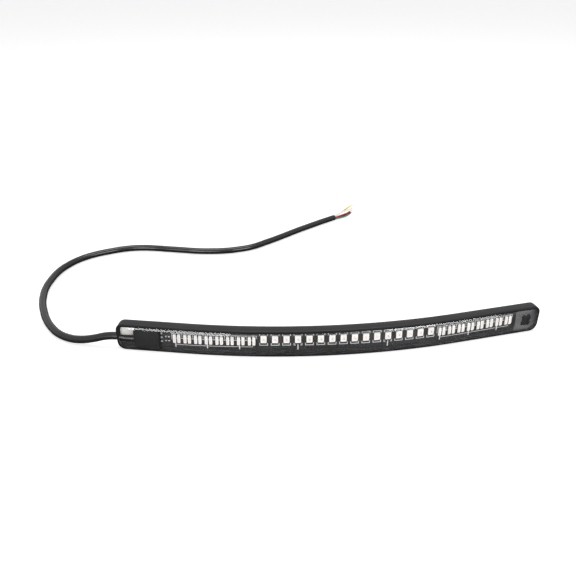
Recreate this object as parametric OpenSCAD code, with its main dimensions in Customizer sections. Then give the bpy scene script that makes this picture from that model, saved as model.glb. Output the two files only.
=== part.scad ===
// Stick-on tail, brake and turn signal strip for a motorcycle.
// A soft black channel holds a flexible lamp board under clear resin, and one cable leaves
// its left end. The strip stands on its long lower edge, bent so that the lens side bulges.
// X runs along the strip, the lens looks toward -Y and Z is up.

/* [Strip] */
// Length along the front rim
strip_length = 208; // [190:1:300]
// Height of the channel when it stands on its edge
strip_height = 14.2; // [13:0.1:18]
// Depth of the channel from the front rim to its back
channel_depth = 5; // [4.8:0.1:6]
// Thickness of the channel's side walls
wall = 1.3; // [0.8:0.1:1.5]
// Thickness of the channel's floor
floor_thickness = 0.5; // [0.4:0.1:0.7]
// Bevel along the channel's front edges
rim_bevel = 0.8; // [0.3:0.1:0.9]
// Radius of the four corners seen from the front
corner_radius = 4; // [2.5:0.1:5]

/* [Bend] */
// Straight length at the cable end
left_straight = 34; // [30:1:45]
// Straight length at the far end
right_straight = 44; // [20:1:60]
// Radius of the bend, measured at the front rim
bend_radius = 340; // [200:5:1000]

/* [Lens] */
// How far the resin stands proud of the rim
lens_rise = 1; // [0.4:0.1:1.6]
// Width of the rounded shoulder between the rim and the flatter middle of the lens
lens_shoulder = 3.2; // [2:0.1:4]

/* [Lamp board] */
// Mean gap between the flexible board and each side wall
board_side_gap = 1.6; // [1.2:0.1:2]
// Thickness of the flexible board
board_thickness = 0.2; // [0.15:0.05:0.4]
// How far the board's middle line lies above the strip's
board_lift = 0.2; // [0:0.1:0.6]
// How far the board wanders up and down inside the channel
board_wander = 0.3; // [0:0.1:0.6]
// Distance from the cable end to the board
board_start = 12.5; // [12.5:0.5:16]
// Distance from the board to the far end
board_end_gap = 12; // [8:0.5:14]

/* [Brake lamps] */
// Distance from the cable end to the first brake lamp
brake_start = 70; // [69.5:0.1:72]
// Width of a brake lamp along the strip
brake_width = 2.8; // [2.4:0.1:3]
// Height of a brake lamp across the strip
brake_tall = 3.5; // [3:0.1:4]
// Thickness of a brake lamp
brake_thick = 0.8; // [0.6:0.1:2]
// How far the brake lamps sit above the board's middle line
brake_lift = 0.7; // [0.4:0.1:1.2]

/* [Turn lamps] */
// Distance from the cable end to the first turn lamp
left_turn_start = 27.7; // [27.5:0.1:28.4]
// Distance from the last brake lamp to the first turn lamp of the far group
right_turn_gap = 4.6; // [4:0.1:5.2]
// Distance from the far end to the last turn lamp
right_turn_inset = 15.3; // [15:0.02:18]
// Distance between pairs of turn lamps
turn_pitch = 5.09; // [4.8:0.01:5.1]
// Distance between the two lamps of a pair
turn_pair = 2.1; // [1.8:0.1:2.5]
// Width of a turn lamp along the strip
turn_width = 1.4; // [1:0.1:1.6]
// Height of a turn lamp across the strip
turn_tall = 4; // [3:0.1:4.4]
// Thickness of a turn lamp
turn_thick = 0.8; // [0.6:0.1:1.2]
// How far the turn lamps sit above the board's middle line
turn_lift = -0.2; // [-0.5:0.1:0.5]

/* [Cable joint] */
// Distance from the cable end to the black sleeve over the joint
sleeve_start = 8.8; // [8:0.1:9.8]
// Length of the sleeve along the strip
sleeve_length = 11.9; // [11:0.1:12.8]
// Gap between the sleeve and each side wall
sleeve_side_gap = 0.5; // [0.3:0.1:0.8]
// Thickness of the sleeve's wall
sleeve_wall = 0.3; // [0.2:0.05:0.4]
// How far the cable enters below the strip's middle line
cable_drop = 0.8; // [0:0.1:1.2]
// Diameter of the cable
cable_d = 3.8; // [3:0.1:4]
// Diameter of the five insulated wires
wire_d = 1.1; // [0.8:0.05:1.15]
// Diameter of the bare copper ends
copper_d = 0.6; // [0.4:0.05:0.8]
// Width of a chip resistor along the strip
resistor_width = 0.85; // [0.7:0.05:1.3]
// Height of a chip resistor across the strip
resistor_tall = 2.2; // [1.6:0.1:2.4]
// Thickness of a chip resistor
resistor_thick = 0.5; // [0.3:0.05:0.7]

/* [Fixing tape] */
// Width of the foam tape on the back
tape_width = 10; // [6:0.5:11]
// Thickness of the foam tape
tape_thick = 0.8; // [0.4:0.1:1]
// Distance from each end to the foam tape
tape_inset = 7; // [6:0.5:12]
// Thickness of the peel-off liner
liner_thick = 0.12; // [0.08:0.01:0.2]

/* [Hidden] */

BRAKE_COUNT = 16;
PAIR_COUNT = 8;
WIRES = ["yellow", "white", "red", "black", "green"];
WIRE_COLORS = ["gold", "white", "crimson", "black", "seagreen"];

function two_digits(i) = i < 10 ? str("0", i) : str(i);
function brake_name(i) = str("brake_led_", two_digits(i + 1));
function left_name(i) = str("left_turn_led_pair_", i + 1);
function right_name(i) = str("right_turn_led_pair_", i + 1);

// The bend: distance s runs along the front rim from the cable end, y runs back from the
// rim plane and z runs up.
arc_length = strip_length - left_straight - right_straight;
half_bend = arc_length / bend_radius * 90 / PI;
arc_end = left_straight + arc_length;
BEND_STEPS = 16;

function along_bend(s) = min(max(s - left_straight, 0), arc_length);
function heading(s) = along_bend(s) / bend_radius * 180 / PI - half_bend;
function past_bend(s) = s - left_straight - along_bend(s);
function rim_x(s) = bend_radius * sin(heading(s)) + past_bend(s) * cos(heading(s));
function rim_y(s) = bend_radius * (1 - cos(heading(s))) + past_bend(s) * sin(heading(s));

// The origin is under the middle of the strip's box.
origin_x = (rim_x(0) + rim_x(strip_length)) / 2;
origin_y = (rim_y(strip_length) + channel_depth * cos(half_bend) - lens_rise) / 2;
function spot(s, y, z) = [
    rim_x(s) - y * sin(heading(s)) - origin_x,
    rim_y(s) + y * cos(heading(s)) - origin_y,
    z
];

module at(s, y, z) {
    translate(spot(s, y, z)) rotate([0, 0, heading(s)]) children();
}

// A solid lofted through outlines of the strip's face. A level is [inset, y]: the outline
// drawn in by the inset, at depth y. The first and last outlines are closed by caps.
CORNER_STEPS = 6;
SMALLEST_RADIUS = 0.8;
function corner_at(inset) = max(corner_radius - inset, SMALLEST_RADIUS);
function left_corner(inset) = [
    for (i = [0 : CORNER_STEPS])
        let (a = 90 * i / CORNER_STEPS, r = corner_at(inset))
        [inset + r * (1 - sin(90 - a)), inset + r * (1 - cos(90 - a))]
];
function low_edge(inset) = concat(
    left_corner(inset),
    [for (i = [0 : BEND_STEPS]) [left_straight + arc_length * i / BEND_STEPS, inset]],
    [for (i = [CORNER_STEPS : -1 : 0])
        let (p = left_corner(inset)[i])
        [strip_length - p[0], p[1]]]
);
function outline(inset) = let (low = low_edge(inset), n = len(low)) concat(
    low,
    [for (i = [n - 1 : -1 : 0]) [low[i][0], strip_height - low[i][1]]]
);
module loft(levels) {
    loops = [for (v = levels) [for (p = outline(v[0])) spot(p[0], v[1], p[1])]];
    m = len(loops[0]);
    n = m / 2;
    last = (len(levels) - 1) * m;
    polyhedron(
        points = [for (loop = loops) each loop],
        faces = concat(
            [for (i = [0 : n - 2]) [i, m - 1 - i, m - 2 - i, i + 1]],
            [for (k = [0 : len(levels) - 2]) for (j = [0 : m - 1])
                let (j2 = (j + 1) % m)
                [k * m + j, k * m + j2, (k + 1) * m + j2, (k + 1) * m + j]],
            [for (i = [0 : n - 2]) [last + i, last + i + 1, last + m - 2 - i, last + m - 1 - i]]
        )
    );
}

// The board isn't quite straight: this is the height of its middle line, highest at the
// crest and again one wander length further on.
WANDER_CREST = 82;
WANDER_LENGTH = 130;
function board_mid(s) = strip_height / 2 + board_lift
    + board_wander * cos(360 * (s - WANDER_CREST) / WANDER_LENGTH);

// A ribbon that follows the bend between two depths, on the board's middle line or straight.
function stations(s0, s1, step) = concat(
    s0 < left_straight ? [for (i = [0 : step]) s0 + (left_straight - s0) * i / step] : [],
    [for (i = [1 : BEND_STEPS - 1]) left_straight + arc_length * i / BEND_STEPS],
    [for (i = [0 : step]) arc_end + (s1 - arc_end) * i / step]
);
module ribbon(s0, s1, y0, y1, width, wander, step = 1) {
    list = stations(s0, s1, step);
    n = len(list);
    rings = [for (s = list)
        let (
            mid = wander ? board_mid(s) : strip_height / 2,
            low = mid - width / 2,
            high = mid + width / 2
        )
        [spot(s, y0, low), spot(s, y0, high), spot(s, y1, high), spot(s, y1, low)]];
    polyhedron(
        points = [for (ring = rings) each ring],
        faces = concat(
            [[0, 1, 2, 3]],
            [for (k = [0 : n - 2]) for (j = [0 : 3])
                let (j2 = (j + 1) % 4)
                [4 * k + j, 4 * k + 4 + j, 4 * k + 4 + j2, 4 * k + j2]],
            [[4 * n - 1, 4 * n - 2, 4 * n - 3, 4 * n - 4]]
        )
    );
}

// A round bar swept through points, with its last ring square to the last stretch.
function unit(v) = v / norm(v);
function way(p, i) = unit(p[min(i + 1, len(p) - 1)] - p[max(i - 1, 0)]);
module bar(points, d, sides) {
    n = len(points);
    rings = [for (i = [0 : n - 1])
        let (t = way(points, i), side = unit(cross(t, [0, 0, 1])), up = cross(side, t))
        [for (k = [0 : sides - 1])
            points[i] + d / 2 * (cos(360 * k / sides) * side + sin(360 * k / sides) * up)]];
    polyhedron(
        points = [for (ring = rings) each ring],
        faces = concat(
            [[for (k = [0 : sides - 1]) k]],
            [for (i = [0 : n - 2]) for (k = [0 : sides - 1])
                let (k2 = (k + 1) % sides)
                [i * sides + k, (i + 1) * sides + k, (i + 1) * sides + k2, i * sides + k2]],
            [[for (k = [sides - 1 : -1 : 0]) (n - 1) * sides + k]]
        )
    );
}

// Depth of the cavity and of the board's front face.
cavity_depth = channel_depth - floor_thickness;
board_front = cavity_depth - board_thickness;

// The cable's bore. The resin leaves a skin between the bore and the board's front face.
CABLE_CLEARANCE = 0.1;
CABLE_SKIN = 0.15;
// How far a cut runs past the face that it goes through.
OVERSHOOT = 0.5;
cable_y = board_front - CABLE_SKIN - CABLE_CLEARANCE - cable_d / 2;
cable_height = strip_height / 2 - cable_drop;
module cable_bore(length) {
    translate(spot(0, cable_y, cable_height))
        rotate([0, 90, heading(0)])
            translate([0, 0, -OVERSHOOT])
                cylinder(d = cable_d + 2 * CABLE_CLEARANCE, h = length + OVERSHOOT, $fn = 64);
}

module housing() {
    color("#26282a") difference() {
        loft([
            [0, channel_depth],
            [0, rim_bevel],
            [rim_bevel, 0],
            [wall, 0],
            [wall, cavity_depth]
        ]);
        cable_bore(wall + OVERSHOOT);
    }
}

// The lens fills the cavity in front of the board. Its shoulder follows a rounded curve that
// is steep at the rim and flat in the middle.
LENS_FIT = 0.03;
lens_edge = wall + LENS_FIT;
SHOULDER_STEPS = 5;
function dome_level(i) = let (a = 90 * i / SHOULDER_STEPS)
    [lens_edge + lens_shoulder * (1 - cos(a)), -lens_rise * sin(a)];
module lens_blank() {
    loft(concat([[lens_edge, board_front]], [for (i = [0 : SHOULDER_STEPS]) dome_level(i)]));
}

// Extrudes a drawing of the strip's face from depth y0 back to depth y1.
module plate(y0, y1) {
    translate([0, y1, 0]) rotate([90, 0, 0]) linear_extrude(y1 - y0) children();
}

// Lamp board and what is soldered to it.
board_end = strip_length - board_end_gap;
board_width = strip_height - 2 * (wall + board_side_gap);
SOLDER_FILM = 0.05;
module flex_board() {
    color("#1d1f22") ribbon(board_start, board_end, board_front, cavity_depth, board_width, true, 4);
}

MARK_CUT = 0.5;
module lamp_outline(width, tall) {
    polygon([
        [-width / 2, -tall / 2],
        [width / 2 - MARK_CUT, -tall / 2],
        [width / 2, MARK_CUT - tall / 2],
        [width / 2, tall / 2],
        [-width / 2, tall / 2]
    ]);
}
// A lamp with a shallow window in its front. The resin's pockets use the same blank, deeper,
// so that they run out through the resin's back.
WINDOW_DEPTH = 0.12;
WINDOW_BORDER = 0.3;
WINDOW_END = 0.6;
module lamp_blank(width, tall, thick, deeper) {
    plate(board_front - SOLDER_FILM - thick, board_front - SOLDER_FILM + deeper)
        lamp_outline(width, tall);
}
module lamp(width, tall, thick) {
    face = board_front - SOLDER_FILM - thick;
    difference() {
        lamp_blank(width, tall, thick, 0);
        plate(face - OVERSHOOT, face + WINDOW_DEPTH)
            square([width - 2 * WINDOW_BORDER, tall - 2 * WINDOW_END], center = true);
    }
}
pocket_depth = SOLDER_FILM + OVERSHOOT;

// The far turn group is set from the far end, and the brake lamps fill the space between.
right_turn_start = strip_length - right_turn_inset - turn_pair - (PAIR_COUNT - 1) * turn_pitch;
brake_pitch = (right_turn_start - right_turn_gap - brake_start) / (BRAKE_COUNT - 1);
function brake_s(i) = brake_start + i * brake_pitch;
module brake_place(i) {
    at(brake_s(i), 0, board_mid(brake_s(i)) + brake_lift) children();
}
module brake_led(i) {
    color("#efece4") brake_place(i) lamp(brake_width, brake_tall, brake_thick);
}

function turn_s(start, i, k) = start + i * turn_pitch + k * turn_pair;
module turn_place(start, i, k) {
    at(turn_s(start, i, k), 0, board_mid(turn_s(start, i, k)) + turn_lift) children();
}
module turn_led_pair(start, i) {
    color("#f3efe6")
        for (k = [0, 1]) turn_place(start, i, k) lamp(turn_width, turn_tall, turn_thick);
}

// Two chip resistors stand side by side before the first turn lamp.
RESISTOR_LEAD = 4.1;
RESISTOR_PITCH = 1.5;
RESISTOR_DROP = 0.4;
resistor_s = [for (i = [0, 1]) left_turn_start - RESISTOR_LEAD + RESISTOR_PITCH * i];
module resistor_blank(i, deeper) {
    at(resistor_s[i], 0, board_mid(resistor_s[i]) - RESISTOR_DROP)
        plate(board_front - SOLDER_FILM - resistor_thick, board_front - SOLDER_FILM + deeper)
            square([resistor_width, resistor_tall], center = true);
}
module chip_resistor(i) {
    color("#2b2b2b") resistor_blank(i, 0);
}

// Solder joints: three show beside the sleeve's mouth and two lie under the sleeve.
sleeve_end = sleeve_start + sleeve_length;
SOLDER_SIZE = 1.1;
SOLDER_TALL = 0.7;
SHOWN_SPACING = 1.9;
HIDDEN_SPACING = 3.4;
SHOWN_GAP = 0.2;
HIDDEN_DEPTH = 3;
shown_s = sleeve_end + SHOWN_GAP + SOLDER_SIZE / 2;
hidden_s = sleeve_end - HIDDEN_DEPTH;
JOINT_STEPS = [1, 0, -1, 1, -1];
JOINT_SHOWN = [true, true, true, false, false];
function joint_s(i) = JOINT_SHOWN[i] ? shown_s : hidden_s;
function joint_z(i) = board_mid(joint_s(i))
    + JOINT_STEPS[i] * (JOINT_SHOWN[i] ? SHOWN_SPACING : HIDDEN_SPACING);
module solder_joint(i, deeper) {
    translate(spot(joint_s(i), board_front - SOLDER_FILM + deeper, joint_z(i)))
        rotate([90, 0, heading(0)])
            union() {
                cylinder(d = SOLDER_SIZE, h = SOLDER_TALL / 2 + deeper, $fn = 32);
                translate([0, 0, SOLDER_TALL / 2 + deeper])
                    cylinder(d1 = SOLDER_SIZE, d2 = SOLDER_SIZE / 2, h = SOLDER_TALL / 2, $fn = 32);
            }
}
module solder_joints() {
    color("silver") for (i = [0 : len(JOINT_SHOWN) - 1]) solder_joint(i, 0);
}

// A flat sleeve over the joint, open at both ends and at the back. Its far corners are
// square and those at the cable are rounded.
SLEEVE_CORNER = 2;
SLEEVE_PROUD = 0.2;
sleeve_low = wall + sleeve_side_gap;
sleeve_tall = strip_height - 2 * sleeve_low;
module sleeve_outline() {
    translate([sleeve_start + SLEEVE_CORNER, sleeve_low])
        square([sleeve_length - SLEEVE_CORNER, sleeve_tall]);
    translate([sleeve_start, sleeve_low + SLEEVE_CORNER])
        square([sleeve_length, sleeve_tall - 2 * SLEEVE_CORNER]);
    for (z = [sleeve_low + SLEEVE_CORNER, sleeve_low + sleeve_tall - SLEEVE_CORNER])
        translate([sleeve_start + SLEEVE_CORNER, z]) circle(r = SLEEVE_CORNER, $fn = 48);
}
module sleeve_blank(deeper) {
    at(0, 0, 0) plate(-SLEEVE_PROUD, cavity_depth + deeper) sleeve_outline();
}
module joint_sleeve() {
    color("#141516") difference() {
        sleeve_blank(0);
        at(0, 0, 0)
            translate([
                sleeve_start - OVERSHOOT,
                sleeve_wall - SLEEVE_PROUD,
                sleeve_low + sleeve_wall
            ])
                cube([
                    sleeve_length + 2 * OVERSHOOT,
                    cavity_depth + OVERSHOOT,
                    sleeve_tall - 2 * sleeve_wall
                ]);
    }
}

// A dab of dark sealant on the channel's floor near the far end, as five merged spots,
// each given as [along the strip, up, diameter].
DAB_THICK = 0.4;
DAB_FROM_END = 5.9;
DAB_DROP = 1.5;
DAB_SPOTS = [[0, 0, 4.6], [1.1, 1.3, 3], [-1.2, -1, 3], [-1.3, 1.4, 2.4], [1.2, -1.2, 2.4]];
module dab_blank(deeper) {
    at(strip_length - DAB_FROM_END, 0, strip_height / 2 - DAB_DROP)
        plate(cavity_depth - DAB_THICK, cavity_depth + deeper)
            for (p = DAB_SPOTS) translate([p[0], p[1]]) circle(d = p[2], $fn = 48);
}
module sealant_dab() {
    color("#17181a") dab_blank(0);
}

module resin_lens() {
    color("#9aa0a4", 0.5) difference() {
        lens_blank();
        for (i = [0 : BRAKE_COUNT - 1])
            brake_place(i) lamp_blank(brake_width, brake_tall, brake_thick, pocket_depth);
        for (start = [left_turn_start, right_turn_start], i = [0 : PAIR_COUNT - 1], k = [0, 1])
            turn_place(start, i, k) lamp_blank(turn_width, turn_tall, turn_thick, pocket_depth);
        for (i = [0, 1]) resistor_blank(i, pocket_depth);
        for (i = [0 : len(JOINT_SHOWN) - 1]) if (JOINT_SHOWN[i]) solder_joint(i, pocket_depth);
        sleeve_blank(OVERSHOOT);
        cable_bore(sleeve_start + SLEEVE_CORNER);
        dab_blank(OVERSHOOT);
    }
}

// Fixing tape and its liner on the back of the channel.
module foam_tape() {
    color("#e8e8e4")
        ribbon(tape_inset, strip_length - tape_inset, channel_depth, channel_depth + tape_thick,
            tape_width, false);
}
module release_liner() {
    color("#b3261e")
        ribbon(tape_inset, strip_length - tape_inset, channel_depth + tape_thick,
            channel_depth + tape_thick + liner_thick, tape_width, false);
}

// The cable lies on the surface that the strip stands on: it leaves the cable end, sinks to
// the surface, turns back behind the strip and ends in five stripped wires.
CABLE_INNER = 12;
ROUTE = [
    [-108, 6.5, 5.8], [-115, 7.5, 4], [-121.5, 9, 2.7], [-128, 12, 2], [-133.5, 16, 2],
    [-138.5, 22, 2], [-143, 29.5, 2], [-146.5, 37.5, 2], [-149.5, 46, 2], [-151.5, 55, 2],
    [-152.5, 64, 2], [-152, 73, 2], [-150.5, 82, 2], [-147, 90.5, 2], [-141.5, 98, 2],
    [-134.5, 103.5, 2], [-126, 107.5, 2], [-117, 110.5, 2], [-108, 111.5, 2], [-99, 110.5, 2],
    [-90, 108.5, 2], [-81, 106.5, 2], [-72, 104.5, 2], [-63, 103.5, 2], [-54, 103.5, 2],
    [-45.5, 105, 2], [-37, 108, 2], [-29, 113.5, 2], [-21, 119.5, 2], [-13, 126, 2],
    [-5, 132.5, 2], [3, 138.5, 2], [11, 144.5, 2], [21, 151.5, 2]
];
CABLE_SIDES = 8;
WIRE_SIDES = 8;
module cable_jacket() {
    color("#1b1c1e") bar(
        concat(
            [spot(CABLE_INNER, cable_y, cable_height), spot(0, cable_y, cable_height)],
            ROUTE
        ),
        cable_d, CABLE_SIDES);
}

// The five wires lie in a ring inside the cable: white on top, then clockwise as seen from
// the free end red, green, black and yellow.
WIRE_ANGLES = [162, 90, 18, 234, 306];
JACKET_WALL = 0.2;
wire_ring = cable_d / 2 - wire_d / 2 - JACKET_WALL;
cable_tip = ROUTE[len(ROUTE) - 1];
tip_way = unit(cable_tip - ROUTE[len(ROUTE) - 2]);
tip_side = cross(tip_way, [0, 0, 1]);
function wire_start(i) = cable_tip
    + wire_ring * (cos(WIRE_ANGLES[i]) * tip_side + sin(WIRE_ANGLES[i]) * [0, 0, 1]);
LEAD_ROUTES = [
    [[26.5, 157.5, 3], [31, 162, 4], [35, 165.5, 4.8]],
    [[27, 156.5, 3.8], [31, 160, 3.6], [34.5, 163.5, 3.2]],
    [[27, 154.5, 2.4], [31, 158, 2.2], [34, 161.5, 2.2]],
    [[26.5, 156, 0.9], [30.5, 159, 0.8], [34.5, 162.5, 0.8]],
    [[27, 154.5, 0.8], [30, 156.5, 0.7], [32.5, 159, 0.7]]
];
START_STRAIGHT = 1.5;
function lead_points(i) = concat(
    [wire_start(i), wire_start(i) + START_STRAIGHT * tip_way],
    LEAD_ROUTES[i]
);
module lead(i) {
    color(WIRE_COLORS[i]) bar(lead_points(i), wire_d, WIRE_SIDES);
}
COPPER_LENGTH = 3;
module copper_ends() {
    color("#c9a184") for (i = [0 : len(WIRES) - 1]) {
        points = lead_points(i);
        tip = points[len(points) - 1];
        bar([tip, tip + COPPER_LENGTH * unit(tip - points[len(points) - 2])], copper_d, WIRE_SIDES);
    }
}

// Inside the sleeve each wire fans out to its solder joint. The ring of wires is mirrored
// here, because it is seen from its other end.
JOINT_OF_WIRE = [0, 3, 1, 4, 2];
WIRE_TO_JOINT = 0.25;
FAN_STRAIGHT = 0.6;
JOINT_STRAIGHT = 0.8;
function inner_start(i) = [
    CABLE_INNER,
    cable_y - wire_ring * cos(WIRE_ANGLES[i]),
    cable_height + wire_ring * sin(WIRE_ANGLES[i])
];
module inner_wire(i) {
    joint = JOINT_OF_WIRE[i];
    start = inner_start(i);
    rest_y = board_front - wire_d / 2 - SOLDER_FILM;
    end_s = joint_s(joint) - SOLDER_SIZE / 2 - WIRE_TO_JOINT;
    list = [
        start,
        start + [FAN_STRAIGHT, 0, 0],
        [end_s - JOINT_STRAIGHT, rest_y, joint_z(joint)],
        [end_s, rest_y, joint_z(joint)]
    ];
    color(WIRE_COLORS[i]) bar([for (q = list) spot(q[0], q[1], q[2])], wire_d, WIRE_SIDES);
}

housing();
resin_lens();
flex_board();
joint_sleeve();
solder_joints();
chip_resistor(0);  // chip_resistor_1
chip_resistor(1);  // chip_resistor_2
sealant_dab();
foam_tape();
release_liner();
for (i = [0 : BRAKE_COUNT - 1])
    brake_led(i);
for (i = [0 : PAIR_COUNT - 1]) {
    turn_led_pair(left_turn_start, i);
    turn_led_pair(right_turn_start, i);
}
for (i = [0 : len(WIRES) - 1]) {
    inner_wire(i);
    lead(i);
}
cable_jacket();
copper_ends();
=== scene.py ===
import math

import bmesh
import bpy
from bpy.props import FloatProperty, FloatVectorProperty, PointerProperty
from bpy.types import Operator, Panel, PropertyGroup
from mathutils import Matrix, Vector


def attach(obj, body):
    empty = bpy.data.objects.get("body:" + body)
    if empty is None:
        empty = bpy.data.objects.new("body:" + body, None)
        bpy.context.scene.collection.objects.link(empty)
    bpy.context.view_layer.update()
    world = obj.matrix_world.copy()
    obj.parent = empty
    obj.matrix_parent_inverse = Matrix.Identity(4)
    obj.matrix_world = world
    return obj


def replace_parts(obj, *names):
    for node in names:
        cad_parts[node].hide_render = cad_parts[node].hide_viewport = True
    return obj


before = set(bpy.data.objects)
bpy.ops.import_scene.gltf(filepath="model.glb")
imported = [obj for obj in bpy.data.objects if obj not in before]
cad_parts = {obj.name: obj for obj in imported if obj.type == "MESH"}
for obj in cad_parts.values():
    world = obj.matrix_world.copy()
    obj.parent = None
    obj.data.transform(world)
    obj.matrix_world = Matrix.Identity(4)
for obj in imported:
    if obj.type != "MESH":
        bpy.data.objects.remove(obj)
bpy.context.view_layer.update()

# Stick-on LED tail, brake and turn signal strip: finishes, lamps, print, cable and stage.
# Places on the strip are (s, y, z): s runs along its front rim from the cable end, y back
# from the rim plane and z up. A piece is modelled straight in them and then bent.

bl_info = {
    "name": "Stick-on LED tail strip",
    "version": (1, 0, 0),
    "blender": (4, 5, 0),
    "location": "View3D > Sidebar > Tail strip",
    "description": "Dresses a bent motorcycle tail light strip with its cable",
    "category": "Object",
}

MM = 0.001
BODY = "root"
WIRES = ("yellow", "white", "red", "black", "green")
BRAKE_COUNT = 16
PAIR_COUNT = 8
DOME_STEPS = 12
STRANDS = 7
LEAST_CORNER = 0.8 * MM
CORNER_SHARE = 0.45
NEAR = 0.01 * MM
HAIR = 1e-6
WELD = 1e-7
TERMINAL = 0.2 * MM
DIE_EDGE = 0.24
BORE_PLAY = 0.2 * MM
OPEN_BRACKETS = (3, 11)
TAILED_PAIRS = (0, 3, 6)
TAIL_WIDTH = 0.45 * MM
TURN_TAIL_WIDTH = 0.5 * MM
TAPE_CORNER = 0.8 * MM
CHIP_PITCH = 1.5 * MM
CHIP_LEAD = 4.1 * MM
CHIP_LIFT = -0.4 * MM


def length(name, description, millimetres):
    """A size in metres, given in millimetres."""
    return FloatProperty(
        name=name, description=description, default=millimetres * MM, unit="LENGTH", precision=5
    )


def colour(name, description, rgb):
    """A linear colour."""
    return FloatVectorProperty(
        name=name, description=description, default=rgb, subtype="COLOR", min=0.0, max=1.0
    )


class StripSizes(PropertyGroup):
    """Sizes of the channel, the resin and the tape."""

    strip_length: length("Length", "Length along the front rim", 208)
    strip_height: length("Height", "Height of the channel on its long edge", 14.2)
    channel_depth: length("Depth", "From the front rim to the back", 5)
    wall: length("Wall", "Thickness of the side walls", 1.3)
    floor_thickness: length("Floor", "Thickness of the channel's floor", 0.5)
    rim_bevel: length("Rim rounding", "Rounding of the channel's front edges", 0.8)
    back_bevel: length("Back rounding", "Rounding of the channel's back edges", 0.35)
    lip_bevel: length("Lip rounding", "Rounding of the rim's inner edge", 0.15)
    rim_fall: length("Rim fall", "How far the rim falls toward the resin", 0.02)
    corner_radius: length("Corner radius", "Radius of the corners seen from the front", 4)
    left_straight: length("Straight at the cable", "Straight run at the cable end", 34)
    right_straight: length("Straight at the far end", "Straight run at the far end", 44)
    bend_radius: length("Bend radius", "Radius of the bend at the front rim", 340)
    lens_fit: length("Lens gap", "Gap between the resin and the wall", 0.03)
    lens_rise: length("Lens rise", "How far the resin stands proud of the rim", 1)
    lens_shoulder: length("Lens shoulder", "Width over which the resin rises", 5.2)
    tape_width: length("Tape width", "Width of the foam tape", 10)
    tape_thick: length("Tape thickness", "Thickness of the foam tape", 0.8)
    tape_inset: length("Tape inset", "Distance from each end to the tape", 7)
    liner_thick: length("Liner thickness", "Thickness of the peel-off liner", 0.12)


class BoardSizes(PropertyGroup):
    """Sizes of the lamp board and of what is soldered to it."""

    board_width: length("Board width", "Width of the flexible board", 8.4)
    board_thickness: length("Board thickness", "Thickness of the flexible board", 0.2)
    board_lift: length("Board lift", "Board's middle line above the strip's", 0.2)
    board_wander: length("Board wander", "How far the board wanders up and down", 0.3)
    wander_crest: length("Wander crest", "Where along the strip the board rides highest", 82)
    wander_length: length("Wander length", "Distance between two crests", 130)
    board_start: length("Board start", "From the cable end to the board", 12.5)
    board_end_gap: length("Board end gap", "From the board to the far end", 12)
    solder_film: length("Solder film", "Solder under a lamp", 0.05)
    brake_start: length("First brake lamp", "From the cable end to the first brake lamp", 70)
    brake_pitch: length("Brake lamp pitch", "Distance between brake lamps", 5.358)
    brake_width: length("Brake lamp width", "Width of a brake lamp", 2.8)
    brake_tall: length("Brake lamp height", "Height of a brake lamp", 3.5)
    brake_thick: length("Brake lamp thickness", "Thickness of a brake lamp", 0.8)
    brake_lift: length("Brake lamp lift", "Brake lamps above the board's middle line", 0.7)
    left_turn_start: length("First turn lamp", "From the cable end to the first turn lamp", 27.7)
    right_turn_start: length("First far turn lamp", "From the cable end to the far group", 154.97)
    turn_pitch: length("Turn pair pitch", "Distance between pairs of turn lamps", 5.09)
    turn_pair: length("Turn pair width", "Distance between the lamps of a pair", 2.1)
    turn_width: length("Turn lamp width", "Width of a turn lamp", 1.4)
    turn_tall: length("Turn lamp height", "Height of a turn lamp", 4)
    turn_thick: length("Turn lamp thickness", "Thickness of a turn lamp", 0.8)
    turn_lift: length("Turn lamp lift", "Turn lamps above the board's middle line", -0.2)
    print_thick: length("Print thickness", "Thickness of the print on the board", 0.02)
    print_line: length("Print line", "Width of a printed line", 0.2)


class JointSizes(PropertyGroup):
    """Sizes of the cable, its leads and the joint inside the strip."""

    sleeve_start: length("Sleeve start", "From the cable end to the sleeve", 8.8)
    sleeve_length: length("Sleeve length", "Length of the sleeve along the strip", 11.9)
    sleeve_side_gap: length("Sleeve gap", "Gap between the sleeve and each side wall", 0.5)
    sleeve_wall: length("Sleeve wall", "Thickness of the sleeve's wall", 0.3)
    sleeve_proud: length("Sleeve proud", "How far the sleeve stands before the rim", 0.2)
    sleeve_corner: length("Sleeve corner", "Radius of the sleeve's corners at the cable", 2)
    cable_d: length("Cable diameter", "Diameter of the cable", 3.8)
    cable_drop: length("Cable drop", "Cable's entry below the strip's middle line", 0.8)
    cable_y: length("Cable depth", "Cable's middle line behind the rim plane", 2.15)
    cable_inner: length("Cable inside", "Length of cable inside the strip", 12)
    cable_length: length("Cable length", "Free length of the cable", 304)
    wire_d: length("Wire diameter", "Diameter of an insulated wire", 1.1)
    jacket_wall: length("Jacket wall", "Cable's jacket around the ring of wires", 0.2)
    strand_d: length("Strand diameter", "Diameter of one copper strand", 0.16)
    copper_length: length("Bare length", "Length of the bare copper ends", 3)


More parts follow.
